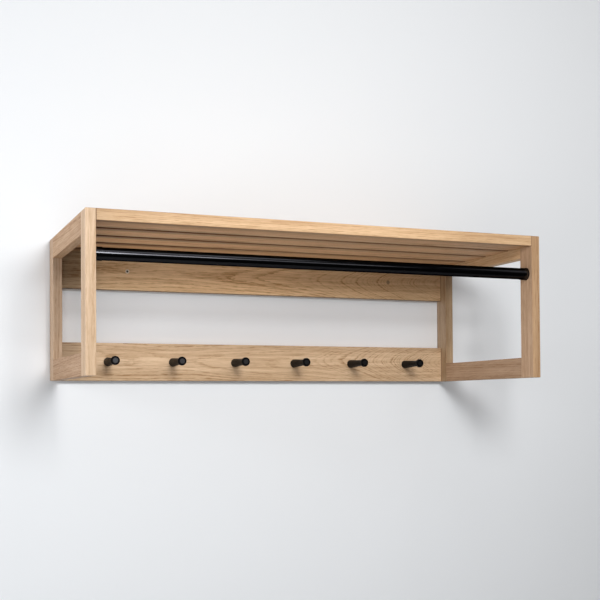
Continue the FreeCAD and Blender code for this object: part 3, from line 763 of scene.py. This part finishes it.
# How far the heart of its log lies from the middle of each post and rail
heart_offsets = {
    "left_front_post": (0.030, 0.160, 0.0), "left_rear_post": (-0.050, 0.120, 0.0),
    "right_front_post": (-0.070, 0.150, 0.0), "right_rear_post": (0.110, 0.050, 0.0),
    "left_lower_frame_rail": (0.080, 0.0, -0.060), "left_upper_frame_rail": (0.090, 0.0, 0.050),
    "right_lower_frame_rail": (0.070, 0.0, 0.040), "right_upper_frame_rail": (0.080, 0.0, -0.050),
}
for number, (name, offset) in enumerate(heart_offsets.items()):
    grain = "Z" if name.endswith("post") else "Y"
    seed = 3.1 + 1.7 * number
    facing = RIGHT_POST_INSIDE_LIGHT if name == "right_front_post" else None
    dress(name, oak_material(name + "_oak", grain, middle(name) + Vector(offset), seed, TONES_AND_PAINTED_LIGHT[name],
                             lean=(0.01, -0.012), facing=facing, wander=2.5 * MM, ring_width=2.2 * MM))

# The wide boards show arrows that point to the left. The log's heart comes nearer at their right ends.
# For each board: the heart's offset, the seed, where the heart is nearest, and the greys of painted light and
# shade along X
boards = {
    "upper_board": ((0.0, 0.12, 0.0), 21.3, 0.52, ((-0.48, 0.48), (-0.44, 0.54), (-0.37, 1.06),
                                                   (-0.05, 1.24), (0.2, 1.0), (0.48, 0.82))),
    "peg_board": ((0.0, 0.12, 0.004), 47.9, 0.54, ((-0.48, 0.68), (-0.38, 1.04), (0.0, 1.00),
                                                   (0.48, 0.90))),
}
for name, (offset, seed, swell_place, light_stops) in boards.items():
    dress(name, oak_material(name + "_oak", "X", middle(name) + Vector(offset), seed, TONES_AND_PAINTED_LIGHT[name],
                             dark=DEEP_OAK, facing=BOARD_UNDERSIDE_SHADE, arrow=0.9, joints=True, light_stops=light_stops,
                             ring_width=1.8 * MM, wander=6 * MM, swell=60 * MM, swell_place=swell_place,
                             swell_length=0.26))

# The slats of the shelf

slat_heart = middle("shelf_slat_1") + Vector((0.0, 0.03, -0.11))
# The slats' greys along X are painted light and shade, darker towards both ends
slat_material = oak_material("shelf_slats_oak", "X", slat_heart, 8.4, TONES_AND_PAINTED_LIGHT["shelf_slats"],
                             rows=(slat_low.y, slat_pitch), gaps=GAPS_START, facing=SLAT_UNDERSIDE_LIGHT,
                             joints=True, light_stops=((-0.48, 0.84), (-0.43, 0.92), (-0.3, 1.0), (0.2, 0.99),
                                                 (0.48, 0.88)), wander=7 * MM)
slat_tree = make_slat_tree()


def make_slats(name, first, count, material, nodes):
    """Makes a row of slats in place of the plain ones, from the first one's box."""
    low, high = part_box(first)
    sizes = {
        "Left": low.x, "Front": low.y, "Bottom": low.z, "Length": high.x - low.x,
        "Width": high.y - low.y, "Thickness": high.z - low.z, "Pitch": slat_pitch,
        "Edge Radius": 1.2 * MM, "Edge Steps": 5, "Count": count, "Material": material,
    }
    fit_piece(grow(name, slat_tree, sizes), "oak_slats", *nodes)


make_slats("hat_shelf_slats", "shelf_slat_1", 4, slat_material, [f"shelf_slat_{n}" for n in range(1, 5)])
rear_heart = middle("rear_slat") + Vector((0.0, 0.05, -0.10))
rear_material = oak_material("rear_slat_oak", "X", rear_heart, 33.7, TONES_AND_PAINTED_LIGHT["rear_slat"], gaps=GAPS_START,
                             facing=SLAT_UNDERSIDE_LIGHT, joints=True, wander=6 * MM)
make_slats("rear_slat_eased", "rear_slat", 1, rear_material, ["rear_slat"])

# The pegs

peg_low, peg_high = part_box("peg_1")
peg_middle = middle("peg_1")
peg_pitch = middle("peg_2").x - peg_middle.x
peg_front = (peg_middle.x, peg_low.y, peg_middle.z)
satin_black = coated_material("satin_black_pegs", (0.0025, 0.0023, 0.0026, 1), 0.45, 0.55, 900.0, 0.2,
                              painted_sheen=(peg_front, peg_pitch), Specular_IOR_Level=0.1,
                              Coat_Roughness=0.4)
peg_sizes = {
    "First X": peg_middle.x, "Board Y": peg_high.y, "Level Z": peg_middle.z,
    "Pitch": peg_pitch, "Length": peg_high.y - peg_low.y,
    "Base Diameter": 19.5 * MM, "Neck Diameter": 12.5 * MM, "Head Diameter": 20 * MM,
    "Head Thickness": 6 * MM, "Flare": 2.5 * MM, "Front Rounding": 2.4 * MM, "Back Rounding": 1 * MM,
    "Count": 6, "Segments": 56, "Material": satin_black,
}
fit_piece(grow("turned_pegs", make_peg_tree(), peg_sizes), "black_peg", *[f"peg_{n}" for n in range(1, 7)])

# The hanging rail and its sockets

GLOSS_BLACK = {"coat": (0.029, 0.029, 0.032, 1), "smooth": 0.14, "rubbed": 0.17, "peel_scale": 260.0,
               "strength": 0.0, "dust": (0.02, 0.019, 0.018, 1), "Metallic": 1.0,
               "Specular_Tint": (0, 0, 0, 1)}
gloss_black = coated_material("gloss_black_rail", **GLOSS_BLACK)
rail_low, rail_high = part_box("hanging_rail")
rail_middle = middle("hanging_rail")
RAIL_DIAMETER = 25 * MM
fit_piece(grow("round_rail", make_rail_tree(), {
    "Left": rail_low.x, "Axis Y": rail_middle.y, "Axis Z": rail_middle.z, "Length": rail_high.x - rail_low.x,
    "Diameter": RAIL_DIAMETER, "Wall": 1.5 * MM, "Segments": 72, "Material": gloss_black,
}), "black_rail", "hanging_rail")
left_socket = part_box("left_rail_socket")[0]
right_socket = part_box("right_rail_socket")[1]
# Painted highlight rings on the right socket only
HIGHLIGHT_RINGS = (4.6 * MM, 8.35 * MM)
highlighted_black = coated_material("black_sockets_painted_highlights", rings=(right_socket.x, HIGHLIGHT_RINGS), **GLOSS_BLACK)
fit_piece(grow("rail_sockets", make_socket_tree(), {
    "Left": left_socket.x, "Right": right_socket.x, "Axis Y": rail_middle.y, "Axis Z": rail_middle.z,
    "Floor": 3.5 * MM, "Depth": 15 * MM, "Bore Radius": RAIL_DIAMETER / 2 + 0.05 * MM, "Wall": 0.7 * MM,
    "Flange": 0.3 * MM, "Groove Width": 1.4 * MM, "Groove Depth": 0.3 * MM, "Edge": 0.15 * MM,
    "Screw Radius": 1.85 * MM, "Segments": 72, "Material": highlighted_black,
}), "black_rail", "left_rail_socket", "right_rail_socket")


# Screws and dowels

# Painted shade: a brown over the right-hand screw head, and near black deep in the screws' recesses
RIGHT_SCREW_SHADE = (0.36, 0.25, 0.145, 1)
RECESS_SHADE = (0.006, 0.005, 0.004, 1)


def steel_material(name, dark, light, metallic, recess_shade_y=None, side_shade_x=None):
    """Plated steel, a little uneven, with painted shade in a recess and a painted brown shade to one side
    where spans are given.
    """
    material, tree, shader, place = start_material(name, Metallic=metallic)
    cloudy = add(tree, "ShaderNodeTexNoise", {"Vector": place, "Scale": 900.0, "Detail": 4.0}).outputs[0]
    tint = blend_colours(tree, cloudy, dark, light)
    for axis, span, colour in (("Y", recess_shade_y, RECESS_SHADE), ("X", side_shade_x, RIGHT_SCREW_SHADE)):
        if span:
            tint = blend_colours(tree, ramp(tree, axis_of(tree, place, axis), *span), tint, colour)
    link(tree, tint, shader.inputs["Base Color"])
    link(tree, ramp(tree, cloudy, 0.3, 0.7, 0.42, 0.58), shader.inputs["Roughness"])
    bump = add(tree, "ShaderNodeBump", {"Height": cloudy, "Strength": 0.2, "Distance": 0.02 * MM})
    link(tree, bump.outputs[0], shader.inputs["Normal"])
    return material


steel = steel_material("zinc_plated_steel", (0.50, 0.50, 0.49, 1), (0.68, 0.69, 0.70, 1), 1.0)
wall_hole_x = frame["record"]["mounts"][0]["dims"]["spacing_x_mm"] * MM / 2
board_low, board_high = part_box("upper_board")
SCREW_SINK = 0.25 * MM
head_y = board_low.y + SCREW_SINK
# Painted shade in the recesses, and over the screw at the right
yellow_steel = steel_material("yellow_plated_steel", (0.86, 0.74, 0.60, 1), (0.96, 0.85, 0.70, 1), 0.15,
                              (head_y + 0.2 * MM, head_y + 0.5 * MM), (0.0, wall_hole_x))
fit_piece(grow("wall_screws", make_wall_screw_tree(), {
    "Left": -wall_hole_x, "Spacing": 2 * wall_hole_x, "Face Y": head_y, "Level Z": 0.0,
    "Head Diameter": 9.4 * MM, "Shank Diameter": 4.8 * MM,
    "Length": board_high.y - board_low.y - 2 * SCREW_SINK,
    "Recess Width": 2.6 * MM, "Recess Depth": 2.6 * MM, "Segments": 40, "Material": yellow_steel,
}), "zinc_screw")
for name in ("peg_screws", "socket_screws"):
    dress(name, steel)

beech = oak_material("beech_dowel_wood", "X", (0.0, 0.3, 0.2), 61.0, pale=(0.60, 0.40, 0.25, 1),
                     dark=(0.46, 0.28, 0.16, 1), ring_width=2 * MM, wander=3 * MM)
for side in ("left", "right"):
    for kind in ("frame", "slat", "board"):
        dress(f"{side}_{kind}_dowels", beech)


# The wall, the floor, the light and the camera

CONTACT_LENGTH = 12 * MM


def plain_material(name, colour, roughness):
    """A matt stage surface that shows from its front only, and doesn't darken what touches it."""
    material, tree, shader, _ = start_material(name, Base_Color=colour, Roughness=roughness,
                                               Specular_IOR_Level=0.2)
    clear = add(tree, "ShaderNodeBsdfTransparent").outputs[0]
    behind = add(tree, "ShaderNodeNewGeometry").outputs["Backfacing"]
    path = add(tree, "ShaderNodeLightPath").outputs
    near = calc(tree, "LESS_THAN", path["Ray Length"], CONTACT_LENGTH)
    contact = calc(tree, "MULTIPLY", near, path["Is Diffuse Ray"])
    hidden = calc(tree, "MAXIMUM", behind, contact)
    mixed = add(tree, "ShaderNodeMixShader", {0: hidden, 1: shader.outputs[0], 2: clear}).outputs[0]
    link(tree, mixed, tree.nodes["Material Output"].inputs["Surface"])
    return material


def stage_panel(name, centre, across, up, material):
    """A flat panel that isn't part of the shelf, from its centre and half its two edges."""
    mesh = bpy.data.meshes.new(name)
    centre, across, up = Vector(centre), Vector(across), Vector(up)
    corners = [centre - across - up, centre + across - up, centre + across + up, centre - across + up]
    mesh.from_pydata(corners, [], [(0, 1, 2, 3)])
    mesh.materials.append(material)
    panel = bpy.data.objects.new(name, mesh)
    bpy.context.collection.objects.link(panel)
    panel.visible_shadow = False


WALL_Y = 0.0015
FLOOR_Z = -2.4
stage_panel("plain_wall", (0.0, WALL_Y, 0.3), (4.0, 0, 0), (0, 0, 2.7),
            plain_material("wall_paint", (0.855, 0.865, 0.885, 1), 0.8))
stage_panel("plain_floor", (0.0, -1.0, FLOOR_Z), (4.0, 0, 0), (0, 1.0, 0),
            plain_material("pale_floor", (0.62, 0.62, 0.61, 1), 0.6))


AIM = Vector((0.0, -0.2, -0.1))


def soft_light(name, place, size, power, colour):
    """A large soft area light that points at the shelf."""
    light = bpy.data.lights.new(name, "AREA")
    light.color = colour
    light.shape = "RECTANGLE"
    light.size, light.size_y = size
    light.energy = power
    lamp = bpy.data.objects.new(name, light)
    lamp.location = place
    lamp.rotation_euler = (AIM - lamp.location).to_track_quat("-Z", "Y").to_euler()
    bpy.context.collection.objects.link(lamp)


# Each light's place, size, power and colour. The key light and the two strips beside it make one
# long light, which shows in the rail and throws the soft shadows on the wall
WHITE = (1.0, 1.0, 1.0)
LIGHTS = {
    "key_light": ((-0.26, -2.4, 0.53), (0.6, 0.54), 32.6, (0.98, 0.998, 1.0)),
    "near_strip_light": ((0.25, -2.4, 0.53), (0.42, 0.4), 6.5, WHITE),
    "far_strip_light": ((0.8, -2.4, 0.52), (0.7, 0.4), 2.6, WHITE),
    "high_light": ((0.35, -2.05, 1.88), (1.2, 0.8), 7.3, WHITE),
    "left_light": ((-2.0, -0.6, -0.2), (1.0, 1.0), 17.3, (0.94, 0.97, 1.0)),
    "right_light": ((1.7, -1.2, 0.6), (1.2, 1.2), 3.8, (1.0, 0.98, 0.97)),
    "fill_light": ((-0.9, -2.4, -0.6), (1.2, 1.2), 11.2, (0.97, 0.985, 1.0)),
    "back_light": ((0.4, 2.4, 0.8), (2.0, 2.0), 36.0, WHITE),
}
for name, light in LIGHTS.items():
    soft_light(name, *light)

world = bpy.data.worlds.new("soft_surroundings")
world.use_nodes = True
world.node_tree.nodes["Background"].inputs["Color"].default_value = (0.98, 0.99, 1.0, 1)
world.node_tree.nodes["Background"].inputs["Strength"].default_value = 0.03
bpy.context.scene.world = world

# The camera, fitted to the picture: place, angles, and focal length and centre in pixels
CAMERA_PLACE = Vector((-0.863497, -2.354443, -0.301481))
YAW, PITCH, ROLL = (math.radians(angle) for angle in (22.218, 1.118, -0.39))
FOCAL_PIXELS = 1046.475
CENTRE_ROW = 383.112
PICTURE = 600
ahead = Vector((math.sin(YAW) * math.cos(PITCH), math.cos(YAW) * math.cos(PITCH), math.sin(PITCH)))
level = Vector((math.cos(YAW), -math.sin(YAW), 0.0))
upright = level.cross(ahead)
right = level * math.cos(ROLL) + upright * math.sin(ROLL)
top = upright * math.cos(ROLL) - level * math.sin(ROLL)
camera_data = bpy.data.cameras.new("camera")
camera_data.lens = FOCAL_PIXELS / PICTURE * camera_data.sensor_width
camera_data.shift_y = (CENTRE_ROW - PICTURE / 2) / PICTURE
camera = bpy.data.objects.new("camera", camera_data)
turn = Matrix((right, top, -ahead)).transposed()
camera.matrix_world = Matrix.Translation(CAMERA_PLACE) @ turn.to_4x4()
bpy.context.collection.objects.link(camera)
bpy.context.scene.camera = camera
bpy.context.scene.view_settings.view_transform = "Standard"
